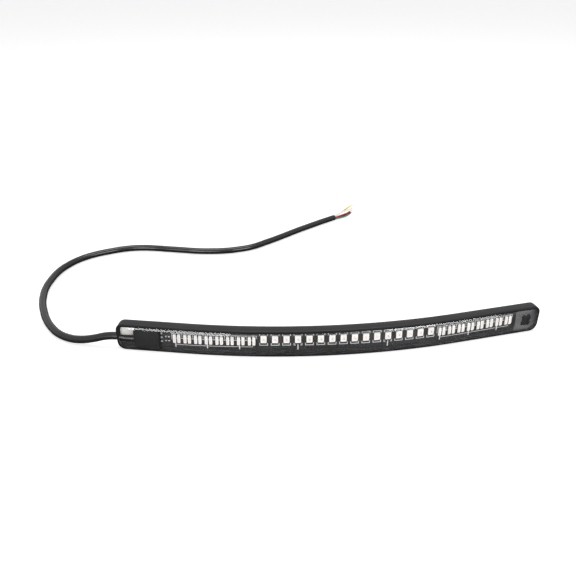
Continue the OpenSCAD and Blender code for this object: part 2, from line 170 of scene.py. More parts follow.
class Finishes(PropertyGroup):
    """Colours of the finishes."""

    silicone: colour("Silicone", "Black silicone channel", (0.011, 0.011, 0.0115))
    # Light grey painted on the channel's far floor for the light it catches through the resin; the
    # floor itself is black silicone.
    painted_floor_light: colour("Cavity", "Channel's far floor, painted light grey as if lit", (0.07, 0.072, 0.073))
    resin: colour("Resin", "Clear potting resin", (0.93, 0.94, 0.95))
    mask: colour("Solder mask", "Black solder mask on the board", (0.011, 0.011, 0.012))
    trace: colour("Trace", "Copper that shows brown through the mask", (0.024, 0.019, 0.017))
    ink: colour("Ink", "Print on the board", (0.6, 0.6, 0.59))
    lamp: colour("Lamp body", "White moulded lamp body", (0.83, 0.81, 0.78))
    gel: colour("Lamp window", "Gel in a lamp's window", (0.8, 0.73, 0.69))
    tin: colour("Solder", "Solder and tinned pads", (0.82, 0.82, 0.8))
    sleeve: colour("Sleeve", "Black joint sleeve", (0.007, 0.007, 0.0075))
    chip: colour("Chip body", "Black chip resistor body", (0.02, 0.02, 0.021))
    # Pale grey of the block at the cable end: a painted highlight, not a material of the strip.
    painted_highlight: colour("Filler", "Pale block painted as the highlight beside the cable", (0.5, 0.49, 0.47))
    sealant: colour("Sealant", "Dark sealant", (0.006, 0.006, 0.0065))
    foam: colour("Foam", "White foam tape", (0.72, 0.72, 0.69))
    liner: colour("Liner", "Red peel-off liner", (0.42, 0.022, 0.018))
    jacket: colour("Cable jacket", "Black cable jacket", (0.006, 0.006, 0.0065))
    copper: colour("Copper", "Bare copper strands", (0.64, 0.55, 0.48))
    floor: colour("Floor", "Floor under the strip", (0.8, 0.8, 0.8))


class StageSettings(PropertyGroup):
    """Camera and lamps."""

    focal_length: FloatProperty(
        name="Focal length", description="Lens of the camera", default=37.5, unit="CAMERA"
    )
    camera_place: FloatVectorProperty(
        name="Camera", description="Where the camera stands",
        default=(-0.03861, -0.23641, 0.16606), subtype="TRANSLATION", unit="LENGTH",
    )
    camera_aim: FloatVectorProperty(
        name="Aim", description="Where the camera looks",
        default=(-0.01793, 0.05693, 0.0), subtype="TRANSLATION", unit="LENGTH",
    )
    world_level: FloatProperty(
        name="World level", description="Light from all around", default=0.35, min=0.0
    )
    shine_level: FloatProperty(
        name="Shine level", description="Surround that glossy pieces mirror", default=0.9, min=0.0
    )


class Run:
    """The strip's sizes, and its run: straight at both ends and bent between."""

    def __init__(self, scene):
        strip = scene.strip_sizes
        self.strip = strip
        self.board = scene.board_sizes
        self.joint = scene.joint_sizes
        self.finishes = scene.finishes
        self.floor = strip.channel_depth - strip.floor_thickness
        self.board_front = self.floor - self.board.board_thickness
        self.lamp_back = self.board_front - self.board.solder_film
        self.cable_height = strip.strip_height / 2 - self.joint.cable_drop
        self.radius = strip.bend_radius
        self.arc = strip.strip_length - strip.left_straight - strip.right_straight
        self.half = self.arc / self.radius / 2
        far = self.rim(strip.strip_length)
        self.origin = Vector((
            (self.rim(0).x + far.x) / 2,
            (far.y + strip.channel_depth * math.cos(self.half) - strip.lens_rise) / 2,
            0,
        ))

    def along(self, s):
        """How much of the bend lies before s."""
        return min(max(s - self.strip.left_straight, 0), self.arc)

    def heading(self, s):
        """The angle at which the rim runs at s."""
        return self.along(s) / self.radius - self.half

    def rim(self, s):
        """The front rim's point at s, before the frame's origin is taken off."""
        turn = self.heading(s)
        past = s - self.strip.left_straight - self.along(s)
        return Vector((
            self.radius * math.sin(turn) + past * math.cos(turn),
            self.radius * (1 - math.cos(turn)) + past * math.sin(turn),
            0,
        ))

    def spot(self, s, y, z):
        """The point of the frame at (s, y, z)."""
        turn = self.heading(s)
        return self.rim(s) - self.origin + Vector((-y * math.sin(turn), y * math.cos(turn), z))

    def apply(self, bm):
        """Bends a mesh that was modelled straight."""
        for v in bm.verts:
            v.co = self.spot(*v.co)

    def board_mid(self, s):
        """Height of the board's middle line at s."""
        board = self.board
        turn = math.tau * (s - board.wander_crest) / board.wander_length
        return self.strip.strip_height / 2 + board.board_lift + board.board_wander * math.cos(turn)


# Mesh helpers


def outline_ring(bm, strip, inset, y, segments=8):
    """Points round the strip's face, drawn in by inset, at depth y."""
    height = strip.strip_height - inset - inset
    radius = min(max(strip.corner_radius - inset, LEAST_CORNER), CORNER_SHARE * height)
    near = inset + radius
    far = strip.strip_length - near
    top = strip.strip_height - near
    ring = []
    for i, (s, z) in enumerate(((near, near), (far, near), (far, top), (near, top))):
        for k in range(segments + 1):
            turn = math.pi * (1 + i / 2 + k / segments / 2)
            place = (s + radius * math.cos(turn), y, z + radius * math.sin(turn))
            ring.append(bm.verts.new(place))
    return ring


def loft(bm, strip, levels):
    """Joins the strip's outline point by point through levels of (inset, y) and closes both
    ends. Bridging by the nearest point would twist where an outline is narrow."""
    rings = [outline_ring(bm, strip, inset, y) for inset, y in levels]
    for first, second in zip(rings, rings[1:]):
        for k, vert in enumerate(first):
            bm.faces.new((vert, first[k - 1], second[k - 1], second[k]))
    bm.faces.new(rings[0])
    bm.faces.new(rings[-1])
    bmesh.ops.recalc_face_normals(bm, faces=bm.faces)


def quarter(inset, y, radius_in, radius_y, steps=3):
    """Levels round an edge, from (inset, y + radius_y) to (inset + radius_in, y)."""
    turns = [math.pi / 2 * i / steps for i in range(steps + 1)]
    return [
        (inset + radius_in * (1 - math.cos(a)), y + radius_y * (1 - math.sin(a))) for a in turns
    ]


def slice_along(bm, start, end, step=2 * MM):
    """Cuts a straight mesh across at even steps, so that it can bend."""
    count = max(1, round((end - start) / step))
    for i in range(1, count):
        place = Vector((start + (end - start) * i / count, 0, 0))
        geometry = bm.verts[:] + bm.edges[:] + bm.faces[:]
        bmesh.ops.bisect_plane(bm, geom=geometry, dist=WELD, plane_co=place, plane_no=(1, 0, 0))


def round_off(bm, geom, offset, segments):
    """Rounds the given edges."""
    bmesh.ops.bevel(
        bm, geom=list(geom), offset=offset, offset_type="OFFSET", affect="EDGES",
        segments=segments, profile=0.5, material=-1,
    )


def slab(bm, low, high, bevel=0.0, segments=2, index=0):
    """A block between two corners, with its edges rounded by bevel."""
    size = Vector(high) - Vector(low)
    middle = (Vector(high) + Vector(low)) / 2
    before = set(bm.faces)
    made = bmesh.ops.create_cube(
        bm, size=1, matrix=Matrix.Translation(middle) @ Matrix.Diagonal(size.to_4d())
    )
    if bevel:
        round_off(bm, {e for v in made["verts"] for e in v.link_edges}, bevel, segments)
    for face in bm.faces:
        if face not in before:
            face.material_index = index


def half_ball(bm, radius, u_segments, v_segments):
    """A ball whose poles lie along y and whose back half is flat. Returns its vertices."""
    made = bmesh.ops.create_uvsphere(
        bm, u_segments=u_segments, v_segments=v_segments, radius=radius,
        matrix=Matrix.Rotation(math.pi / 2, 4, "X"),
    )
    for v in made["verts"]:
        v.co.y = min(v.co.y, 0)
    return made["verts"]


def mesh_data(name, bm):
    """Keeps a finished bmesh as mesh data."""
    data = bpy.data.meshes.new(name)
    bm.to_mesh(data)
    bm.free()
    return data


def add_object(name, data):
    item = bpy.data.objects.new(name, data)
    bpy.context.scene.collection.objects.link(item)
    return item


def link_piece(name, data, materials):
    """Makes an object of finished mesh or curve data, which rides on the strip's body."""
    piece = add_object(name, data)
    for material in materials:
        piece.data.materials.append(material)
    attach(piece, BODY)
    return piece


def mesh_piece(name, bm, materials, nodes=(), angle=35):
    """Turns a bmesh into a smooth shaded piece that stands for the named nodes."""
    data = mesh_data(name, bm)
    data.shade_smooth()
    data.set_sharp_from_angle(angle=math.radians(angle))
    piece = link_piece(name, data, materials)
    if nodes:
        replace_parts(piece, *nodes)
    return piece


def cut_round(piece, centre, axis, diameter, depth):
    """Drills a round hole into a closed piece."""
    bm = bmesh.new()
    turn = Vector((0, 0, 1)).rotation_difference(axis).to_matrix().to_4x4()
    bmesh.ops.create_cone(
        bm, cap_ends=True, segments=48, radius1=diameter / 2, radius2=diameter / 2,
        depth=depth, matrix=Matrix.Translation(centre) @ turn,
    )
    drill = add_object("drill", mesh_data("drill", bm))
    cut = piece.modifiers.new("bore", "BOOLEAN")
    cut.operation = "DIFFERENCE"
    cut.solver = "EXACT"
    cut.object = drill
    graph = bpy.context.evaluated_depsgraph_get()
    finished = bpy.data.meshes.new_from_object(piece.evaluated_get(graph))
    piece.modifiers.clear()
    piece.data = finished
    bpy.data.objects.remove(drill)


# Shader helpers


def add_node(tree, kind, values=None, **settings):
    """A new node with its settings and the values of its inputs."""
    node = tree.nodes.new(kind)
    for name, value in settings.items():
        setattr(node, name, value)
    for name, value in (values or {}).items():
        node.inputs[name].default_value = value
    return node


def connect(tree, *links):
    """Joins nodes. Each link is a node, its output, the next node and its input."""
    for source, output, target, socket in links:
        tree.links.new(source.outputs[output], target.inputs[socket])


def by_ray(tree, ray, usual, seen):
    """A shader that differs for one kind of ray."""
    path = add_node(tree, "ShaderNodeLightPath")
    join = add_node(tree, "ShaderNodeMixShader")
    connect(tree, (path, ray, join, "Fac"), (usual, 0, join, 1), (seen, 0, join, 2))
    return join


def new_group(name, inputs, output):
    """An empty shader node group with a vector input, float inputs and a float output."""
    group = bpy.data.node_groups.new(name, "ShaderNodeTree")
    group.interface.new_socket("Vector", in_out="INPUT", socket_type="NodeSocketVector")
    for title, value in inputs.items():
        socket = group.interface.new_socket(title, in_out="INPUT", socket_type="NodeSocketFloat")
        socket.default_value = value
    group.interface.new_socket(output, in_out="OUTPUT", socket_type="NodeSocketFloat")
    return group, group.nodes.new("NodeGroupInput"), group.nodes.new("NodeGroupOutput")


def grain_group(name):
    """Fine even grain of a moulded or coated surface, about 0.5."""
    group, start, end = new_group(name, {"Scale": 2000.0}, "Grain")
    fine = add_node(group, "ShaderNodeTexNoise", {"Detail": 3.0, "Roughness": 0.6})
    connect(
        group, (start, "Vector", fine, "Vector"), (start, "Scale", fine, "Scale"),
        (fine, "Fac", end, "Grain"),
    )


def streak_group(name):
    """Faint streaks that run along the strip, as wiping and moulding leave them."""
    group, start, end = new_group(name, {"Stretch": 40.0, "Scale": 1200.0}, "Streak")
    join = add_node(group, "ShaderNodeCombineXYZ", {"Y": 1.0, "Z": 1.0})
    share = add_node(group, "ShaderNodeMath", {0: 1.0}, operation="DIVIDE")
    squeeze = add_node(group, "ShaderNodeVectorMath", operation="MULTIPLY")
    noise = add_node(group, "ShaderNodeTexNoise", {"Detail": 4.0, "Roughness": 0.55})
    connect(
        group, (start, "Stretch", share, 1), (share, 0, join, "X"), (join, 0, squeeze, 1),
        (start, "Vector", squeeze, 0), (squeeze, 0, noise, "Vector"),
        (start, "Scale", noise, "Scale"), (noise, "Fac", end, "Streak"),
    )


def smudge_group(name):
    """Broad soft patches, such as handling leaves on a smooth surface."""
    group, start, end = new_group(name, {"Scale": 90.0}, "Smudge")
    noise = add_node(group, "ShaderNodeTexNoise", {"Detail": 2.0, "Distortion": 0.6})
    ramp = add_node(group, "ShaderNodeMapRange", {"From Min": 0.35, "From Max": 0.65})
    connect(
        group, (start, "Vector", noise, "Vector"), (start, "Scale", noise, "Scale"),
        (noise, "Fac", ramp, "Value"), (ramp, "Result", end, "Smudge"),
    )


NODE_GROUPS = {
    "Fine grain": grain_group, "Long streaks": streak_group, "Soft smudges": smudge_group
}


def use_group(tree, name, places, **values):
    """Places a shared node group that reads the object's coordinates."""
    if name not in bpy.data.node_groups:
        NODE_GROUPS[name](name)
    group = bpy.data.node_groups[name]
    node = add_node(tree, "ShaderNodeGroup", node_tree=group)
    for title, value in values.items():
        node.inputs[title].default_value = value
    connect(tree, (places, "Object", node, "Vector"))
    return node


def shaded(rgb, share):
    return (rgb[0] * share, rgb[1] * share, rgb[2] * share, 1.0)


def new_material(name):
    """A new material, its node tree and its Principled shader."""
    material = bpy.data.materials.new(name)
    material.use_nodes = True
    return material, material.node_tree, material.node_tree.nodes["Principled BSDF"]


def vary_skin(tree, shader, smudge, pattern, smooth, rough, bump, relief):
    """Smudges vary the roughness from smooth to rough, and a pattern lifts the skin."""
    spread = add_node(tree, "ShaderNodeMapRange", {"To Min": smooth, "To Max": rough})
    lift = add_node(tree, "ShaderNodeBump", {"Strength": bump, "Distance": relief})
    connect(
        tree, (smudge, 0, spread, "Value"), (spread, "Result", shader, "Roughness"),
        (pattern, 0, lift, "Height"), (lift, "Normal", shader, "Normal"),
    )


def surface(
    name, rgb, roughness, spread=0.08, tint=0.12, grain=2200.0, bump=0.1, relief=0.02,
    streak=0.0, stretch=40.0, metallic=0.0, specular=0.5,
):
    """A moulded, coated or drawn surface: its colour and roughness vary a little, and its
    grain or streaks lift it by up to relief millimetres."""
    if name in bpy.data.materials:
        return bpy.data.materials[name]
    material, tree, shader = new_material(name)
    shader.inputs["Metallic"].default_value = metallic
    shader.inputs["Specular IOR Level"].default_value = specular
    places = add_node(tree, "ShaderNodeTexCoord")
    smudge = use_group(tree, "Soft smudges", places)
    if streak:
        pattern = use_group(tree, "Long streaks", places, Scale=streak, Stretch=stretch)
    else:
        pattern = use_group(tree, "Fine grain", places, Scale=grain)
    mix = add_node(tree, "ShaderNodeMix", data_type="RGBA")
    mix.inputs[6].default_value = shaded(rgb, 1 - tint)
    mix.inputs[7].default_value = shaded(rgb, 1 + tint)
    connect(tree, (pattern, 0, mix, 0), (mix, 2, shader, "Base Color"))
    vary_skin(
        tree, shader, smudge, pattern, roughness - spread, roughness + spread, bump,
        relief * MM,
    )
    return material


def resin_material(finishes):
    """Clear potting resin. Lamps shine through it, and its skin is slightly uneven."""
    name = "Clear resin"
    if name in bpy.data.materials:
        return bpy.data.materials[name]
    material, tree, shader = new_material(name)
    shader.inputs["Base Color"].default_value = (*finishes.resin, 1.0)
    shader.inputs["Transmission Weight"].default_value = 1.0
    shader.inputs["IOR"].default_value = 1.5
    places = add_node(tree, "ShaderNodeTexCoord")
    smudge = use_group(tree, "Soft smudges", places, Scale=140.0)
    waves = use_group(tree, "Long streaks", places, Scale=40.0, Stretch=6.0)
    vary_skin(
        tree, shader, smudge, waves, smooth=0.02, rough=0.07, bump=0.02, relief=0.02 * MM
    )
    clear = add_node(tree, "ShaderNodeBsdfTransparent", {"Color": (0.9, 0.9, 0.9, 1.0)})
    join = by_ray(tree, "Is Shadow Ray", shader, clear)
    connect(tree, (join, 0, tree.nodes["Material Output"], "Surface"))
    return material


def foam_material(finishes):
    """Closed-cell foam: small round pores over soft patches."""
    name = "Foam tape"
    if name in bpy.data.materials:
        return bpy.data.materials[name]
    material = surface(name, finishes.foam, 0.85, tint=0.08, grain=1500.0)
    tree = material.node_tree
    shader = tree.nodes["Principled BSDF"]
    places = add_node(tree, "ShaderNodeTexCoord")
    pores = add_node(tree, "ShaderNodeTexVoronoi", {"Scale": 2600.0})
    lift = add_node(tree, "ShaderNodeBump", {"Strength": 0.8, "Distance": 0.08 * MM})
    connect(
        tree, (places, "Object", pores, "Vector"), (pores, "Distance", lift, "Height"),
        (lift, "Normal", shader, "Normal"),
    )
    return material


def silicone_material(finishes):
    return surface(
        "Black silicone", finishes.silicone, 0.42, spread=0.07, tint=0.25, streak=900.0,
        stretch=60.0, bump=0.3, relief=0.03, specular=0.28,
    )


def tin_material(finishes):
    return surface("Solder", finishes.tin, 0.3, metallic=1.0, grain=900.0, bump=0.3, relief=0.04)


WIRE_COLOURS = {
    "yellow": (0.72, 0.54, 0.12),
    "white": (0.75, 0.74, 0.7),
    "red": (0.42, 0.012, 0.014),
    "black": (0.014, 0.014, 0.015),
    "green": (0.03, 0.27, 0.17),
}


def wire_material(wire):
    return surface(
        f"Wire {wire}", WIRE_COLOURS[wire], 0.34, spread=0.05, tint=0.1, grain=3500.0, bump=0.15
    )


# Cable: the free length repeats the route that the packed cable lies on, in millimetres.

ROUTE = [
    (-108, 6.5, 5.8), (-115, 7.5, 4), (-121.5, 9, 2.7), (-128, 12, 2), (-133.5, 16, 2),
    (-138.5, 22, 2), (-143, 29.5, 2), (-146.5, 37.5, 2), (-149.5, 46, 2), (-151.5, 55, 2),
    (-152.5, 64, 2), (-152, 73, 2), (-150.5, 82, 2), (-147, 90.5, 2), (-141.5, 98, 2),
    (-134.5, 103.5, 2), (-126, 107.5, 2), (-117, 110.5, 2), (-108, 111.5, 2), (-99, 110.5, 2),
    (-90, 108.5, 2), (-81, 106.5, 2), (-72, 104.5, 2), (-63, 103.5, 2), (-54, 103.5, 2),
    (-45.5, 105, 2), (-37, 108, 2), (-29, 113.5, 2), (-21, 119.5, 2), (-13, 126, 2),
    (-5, 132.5, 2), (3, 138.5, 2), (11, 144.5, 2), (21, 151.5, 2),
]
LEAD_ROUTES = [
    [(26.5, 157.5, 3), (31, 162, 4), (35, 165.5, 4.8)],
    [(27, 156.5, 3.8), (31, 160, 3.6), (34.5, 163.5, 3.2)],
    [(27, 154.5, 2.4), (31, 158, 2.2), (34, 161.5, 2.2)],
    [(26.5, 156, 0.9), (30.5, 159, 0.8), (34.5, 162.5, 0.8)],
    [(27, 154.5, 0.8), (30, 156.5, 0.7), (32.5, 159, 0.7)],
]
WIRE_ANGLES = (162, 90, 18, 234, 306)
START_STRAIGHT = 1.5 * MM


def cord_data(name, diameter, resolution, sides):
    """Curve data of a round cord that has no spline yet."""
    data = bpy.data.curves.new(name, "CURVE")
    data.dimensions = "3D"
    data.resolution_u = resolution
    data.bevel_depth = diameter / 2
    data.bevel_resolution = sides
    data.use_fill_caps = True
    return data


def smooth_curve(name, points, diameter, resolution=6, sides=5):
    """A round cord as a curve of one smooth spline through points."""
    data = cord_data(name, diameter, resolution, sides)
    add_spline(data, points)
    return data


def add_spline(data, points):
    spline = data.splines.new("BEZIER")
    spline.bezier_points.add(len(points) - 1)
    for knot, point in zip(spline.bezier_points, points):
        knot.co = point
        knot.handle_left_type = "AUTO"
        knot.handle_right_type = "AUTO"


def route_points():
    return [Vector(p) * MM for p in ROUTE]


def lead_points(joint, i):
    """The route of lead i, from the cable's end."""
    tip = route_points()
    forward = (tip[-1] - tip[-2]).normalized()
    side = forward.cross(Vector((0, 0, 1)))
    ring = joint.cable_d / 2 - joint.wire_d / 2 - joint.jacket_wall
    turn = math.radians(WIRE_ANGLES[i])
    start = tip[-1] + ring * (math.cos(turn) * side + math.sin(turn) * Vector((0, 0, 1)))
    return [start, start + START_STRAIGHT * forward] + [Vector(p) * MM for p in LEAD_ROUTES[i]]


class STRIP_OT_cable(Operator):
    """Lays the cable, its five leads and their bare copper ends"""

    bl_idname = "strip.cable"
    bl_label = "Cable and leads"

    def execute(self, context):
        run = Run(context.scene)
        joint = run.joint
        exit_point = run.spot(0, joint.cable_y, run.cable_height)
        inside = run.spot(joint.cable_inner, joint.cable_y, run.cable_height)
        jacket = surface(
            "Cable jacket", run.finishes.jacket, 0.2, spread=0.04, grain=2600.0, bump=0.2,
            relief=0.03,
        )
        curve = smooth_curve("cable", [inside, exit_point] + route_points(), joint.cable_d)
        cable = link_piece("cable", curve, [jacket])
        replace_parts(cable, "cable_jacket")
        for i, wire in enumerate(WIRES):
            data = smooth_curve(f"core_{wire}", lead_points(joint, i), joint.wire_d, sides=4)
            lead = link_piece(f"core_{wire}", data, [wire_material(wire)])
            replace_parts(lead, f"lead_{wire}")
        self.strands(joint, run.finishes)
        return {"FINISHED"}

    def strands(self, joint, finishes):
        """Seven fine strands stand out of each lead and spread a little."""
        copper = surface(
            "Copper strands", finishes.copper, 0.32, metallic=1.0, grain=4000.0, bump=0.2
        )
        data = cord_data("copper_strands", joint.strand_d, resolution=3, sides=2)
        root = 0.6 * MM
        for i in range(len(WIRES)):
            points = lead_points(joint, i)
            tip = points[-1]
            forward = (tip - points[-2]).normalized()
            side = forward.cross(Vector((0, 0, 1))).normalized()
            up = side.cross(forward)
            for k in range(STRANDS):
                turn = math.tau * k / (STRANDS - 1)
                ring = joint.strand_d * 1.02 * (k > 0)
                out = ring * (math.cos(turn) * side + math.sin(turn) * up)
                spread = 1.0 + 0.5 * ((k * 3 + i) % 4) / 3
                end = tip + forward * joint.copper_length * (0.86 + 0.04 * ((k + i) % 4))
                add_spline(data, [
                    tip - forward * root + out,
                    tip + forward * joint.copper_length * 0.45 + out * 1.02,
                    end + out * spread,
                ])
        strands = link_piece("copper_strands", data, [copper])
        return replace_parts(strands, "copper_ends")


class STRIP_OT_channel(Operator):
    """Builds the soft black channel with rounded edges and drills it for the cable"""

    bl_idname = "strip.channel"
    bl_label = "Channel"

    def execute(self, context):
        run = Run(context.scene)
        strip, joint, finishes = run.strip, run.joint, run.finishes
        back = quarter(0, strip.channel_depth, strip.back_bevel, -strip.back_bevel)
        front = quarter(0, 0, strip.rim_bevel, strip.rim_bevel, steps=4)
        lip = strip.lip_bevel
        fall = strip.rim_fall
        inner = [
            (strip.wall - lip, fall),
            (strip.wall - lip * 0.3, fall + lip * 0.3),
            (strip.wall, fall + lip),
        ]
        levels = list(reversed(back)) + front + inner + [(strip.wall, run.floor)]
        bm = bmesh.new()
        loft(bm, strip, levels)
        slice_along(bm, 0, strip.strip_length)
        for face in bm.faces:
            on_floor = all(abs(v.co.y - run.floor) < NEAR for v in face.verts)
            far_end = face.calc_center_median().x > strip.strip_length - run.board.board_end_gap
            # Floor faces past the board take index 1, a lighter grey painted to stand for the
            # light on that floor.
            face.material_index = 1 if on_floor and far_end else 0
            if all(v.co.y < strip.rim_bevel / 2 for v in face.verts):
                face.material_index = 2
        run.apply(bm)
        # Painted light: the far floor is coloured lighter grey than the black silicone.
        lit_floor_paint = surface(
            "Cavity floor", finishes.painted_floor_light, 0.5, tint=0.3, streak=500.0, stretch=4.0, bump=0.3
        )
        rim = surface(
            "Moulded rim", finishes.silicone, 0.4, tint=0.25, streak=900.0, stretch=60.0,
            bump=0.2, specular=0.1,
        )
        channel = mesh_piece(
            "channel", bm, [silicone_material(finishes), lit_floor_paint, rim],
            ["housing"],
        )
        direction = run.spot(1, 0, 0) - run.spot(0, 0, 0)
        cut_round(
            channel, run.spot(0, joint.cable_y, run.cable_height), direction.normalized(),
            joint.cable_d + BORE_PLAY, 2 * strip.wall + 1 * MM,
        )
        return {"FINISHED"}


class STRIP_OT_lens(Operator):
    """Pours the clear resin with its domed front"""

    bl_idname = "strip.lens"
    bl_label = "Resin lens"

    def execute(self, context):
        run = Run(context.scene)
        strip = run.strip
        edge = strip.wall + strip.lens_fit
        dome = []
        for step in range(DOME_STEPS + 1):
            rest = 1 - step / DOME_STEPS
            rise = strip.lens_rise * (1 - rest * rest)
            dome.append((edge + strip.lens_shoulder * (1 - rest), -rise))
        bm = bmesh.new()
        loft(bm, strip, [(edge, run.board_front)] + dome)
        slice_along(bm, 0, strip.strip_length)
        for face in bm.faces:
            depths = [v.co.y for v in face.verts]
            face.material_index = int(max(depths) - min(depths) > strip.channel_depth / 2)
        run.apply(bm)
        materials = [resin_material(run.finishes), silicone_material(run.finishes)]
        mesh_piece("clear_resin", bm, materials, ["resin_lens"], angle=50)
        return {"FINISHED"}


def follow_board(bm, run):
    """Slices what was drawn along the board's middle line and bends it with the board."""
    starts = [v.co.x for v in bm.verts]
    slice_along(bm, min(starts), max(starts))
    for v in bm.verts:
        v.co.z += run.board_mid(v.co.x)
    run.apply(bm)


def stroke(bm, start, end, width, front, thick):
    """A flat printed line between two places (s, height over the board's middle line)."""
    reach = Vector((end[0] - start[0], 0, end[1] - start[1]))
    middle = Vector(((start[0] + end[0]) / 2, front - thick / 2, (start[1] + end[1]) / 2))
    turn = Matrix.Rotation(-math.atan2(reach.z, reach.x), 4, "Y")
    size = Matrix.Diagonal((reach.length + width, thick, width, 1))
    bmesh.ops.create_cube(bm, size=1, matrix=Matrix.Translation(middle) @ turn @ size)


class STRIP_OT_board(Operator):
    """Makes the flexible board with its traces and print"""

    bl_idname = "strip.board"
    bl_label = "Board and print"

    def execute(self, context):
        run = Run(context.scene)
        start = run.board.board_start
        end = run.strip.strip_length - run.board.board_end_gap
        side = run.board.board_width / 2
        bm = bmesh.new()
        slab(bm, (start, run.board_front, -side), (end, run.floor, side), bevel=0.04 * MM)
        follow_board(bm, run)
        mask = surface("Solder mask", run.finishes.mask, 0.4, tint=0.3, grain=1400.0, bump=0.25)
        mesh_piece("lamp_board", bm, [mask], ["flex_board"])
        self.traces(run, start, end)
        self.print(run)
        return {"FINISHED"}

    def traces(self, run, start, end):
        """Copper under the mask: two long rails and a short link beside each brake lamp."""
        board, front = run.board, run.board_front
        bm = bmesh.new()
        thick = 0.015 * MM
        margin, inset = 0.7 * MM, 1 * MM
        rail_width, link_width, link_reach = 0.3 * MM, 1.1 * MM, 0.6 * MM
        edge = board.board_width / 2 - margin
        for height in (edge, -edge):
            stroke(bm, (start + inset, height), (end - inset, height), rail_width, front, thick)
        low = board.brake_lift - link_reach
        high = board.brake_lift + link_reach
        for i in range(BRAKE_COUNT + 1):
            s = board.brake_start + (i - 0.5) * board.brake_pitch
            stroke(bm, (s, low), (s, high), link_width, front, thick)
        follow_board(bm, run)
        brown = surface("Masked copper", run.finishes.trace, 0.35, tint=0.3, grain=1200.0)
        mesh_piece("board_traces", bm, [brown])

    def print(self, run):
        """The printed outlines of the lamp groups."""
        board = run.board
        bm = bmesh.new()

        def draw(points, width=board.print_line):
            for a, b in zip(points, points[1:]):
                stroke(bm, a, b, width, run.board_front, board.print_thick)

        for i in range(BRAKE_COUNT):
            self.brake_bracket(board, draw, board.brake_start + i * board.brake_pitch, i)
        for first in (board.left_turn_start, board.right_turn_start):
            self.turn_outline(board, draw, first)
        follow_board(bm, run)
        ink = surface("Board ink", run.finishes.ink, 0.6, tint=0.25, grain=1600.0)
        mesh_piece("board_print", bm, [ink])

    def brake_bracket(self, board, draw, s, i):
        """Brackets over and under a brake lamp. Two of the lower ones are open, with a tail."""
        side = 1.85 * MM
        arm = 0.9 * MM
        foot_length = 0.6 * MM
        tail = 2.0 * MM
        width = 0.3 * MM
        upper = board.brake_lift + 2.5 * MM
        lower = board.brake_lift - 2.9 * MM
        for height, way in ((upper, -1), (lower, 1)):
            ends = [(s + k * side, height + way * arm) for k in (-1, 1)]
            feet = [(s + k * side, height) for k in (-1, 1)]
            if way > 0 and i in OPEN_BRACKETS:
                for end, foot, k in zip(ends, feet, (-1, 1)):
                    draw([end, foot, (foot[0] - k * foot_length, height)], width)
                draw([(s, height + 0.1 * MM), (s, height - tail)], TAIL_WIDTH)
            else:
                draw([ends[0], feet[0], feet[1], ends[1]], width)

    def turn_outline(self, board, draw, first):
        """A box round a turn group, ticks and links between its lamps, and three tails."""
        margin = 1.3 * MM
        start = first - margin
        end = first + (PAIR_COUNT - 1) * board.turn_pitch + board.turn_pair + margin
        base_start, base_end = start + 1.6 * MM, end - 2 * MM
        top, low = 2.05 * MM, -3.1 * MM
        left_foot, right_foot, base_foot = low + 2.4 * MM, top - 1.2 * MM, low + 0.6 * MM
        tick, dash, dash_width = 1.5 * MM, 0.4 * MM, 0.3 * MM
        width = 0.2 * MM
        hump = first + 2.5 * board.turn_pitch
        half, rise = 1.0 * MM, 0.5 * MM
        turns = [math.pi * k / 4 for k in range(5)]
        arc = [(hump + half * math.cos(a), top + rise * math.sin(a)) for a in reversed(turns)]
        draw([(start, left_foot), (start, top)] + arc + [(end, top)], width)
        draw([(end, top), (end, right_foot)], width)
        draw([(base_start, low), (base_end, low), (base_end, base_foot)])
        for k in range(PAIR_COUNT):
            s = first + k * board.turn_pitch
            if k:
                gap = s - (board.turn_pitch - board.turn_pair) / 2
                draw([(gap, top), (gap, top - tick)], width)
            for place in (s + board.turn_pair / 2, s + (board.turn_pitch + board.turn_pair) / 2):
                if place < base_end:
                    draw([(place - dash, 0), (place + dash, 0)], dash_width)
        tail_top, tail_foot, tail_shift = -1.6 * MM, low - 0.9 * MM, 0.35 * MM
        for k in TAILED_PAIRS:
            s = first + k * board.turn_pitch + tail_shift
            draw([(s, tail_top), (s, tail_foot)], TURN_TAIL_WIDTH)


def lamp_mesh(bm, width, tall, thick, window):
    """One surface-mount lamp, its back at y = 0 and its window toward -y, with a frame of
    width window. A terminal wraps each end, and both lie within the package's height."""
    cut = 0.4 * MM
    slope = 0.08 * MM
    sink = 0.12 * MM
    overlap = 0.05 * MM
    half = tall / 2 - TERMINAL
    corners = [
        (-width / 2, 0, -half), (width / 2 - cut, 0, -half),
        (width / 2, 0, cut - half), (width / 2, 0, half), (-width / 2, 0, half),
    ]
    face = bm.faces.new([bm.verts.new(c) for c in corners])
    made = bmesh.ops.extrude_face_region(bm, geom=[face])
    verts = [g for g in made["geom"] if isinstance(g, bmesh.types.BMVert)]
    bmesh.ops.translate(bm, vec=(0, -thick, 0), verts=verts)
    round_off(bm, [e for e in bm.edges if all(v in verts for v in e.verts)], 0.1 * MM, 2)
    bmesh.ops.recalc_face_normals(bm, faces=bm.faces)
    front = min(bm.faces, key=lambda f: (round(f.calc_center_median().y, 7), -f.calc_area()))
    bmesh.ops.inset_region(bm, faces=[front], thickness=window, use_even_offset=True)
    bmesh.ops.inset_region(bm, faces=[front], thickness=slope, depth=-sink, use_even_offset=True)
    front.material_index = 1
    bmesh.ops.inset_region(bm, faces=[front], thickness=DIE_EDGE * width, use_even_offset=True)
    front.material_index = 2
    side = width / 2 - 0.12 * MM
    terminal = 0.6 * thick
    for way in (-1, 1):
        ends = sorted((way * (half - overlap), way * tall / 2))
        slab(bm, (-side, -terminal, ends[0]), (side, 0, ends[1]), 0.05 * MM, index=3)


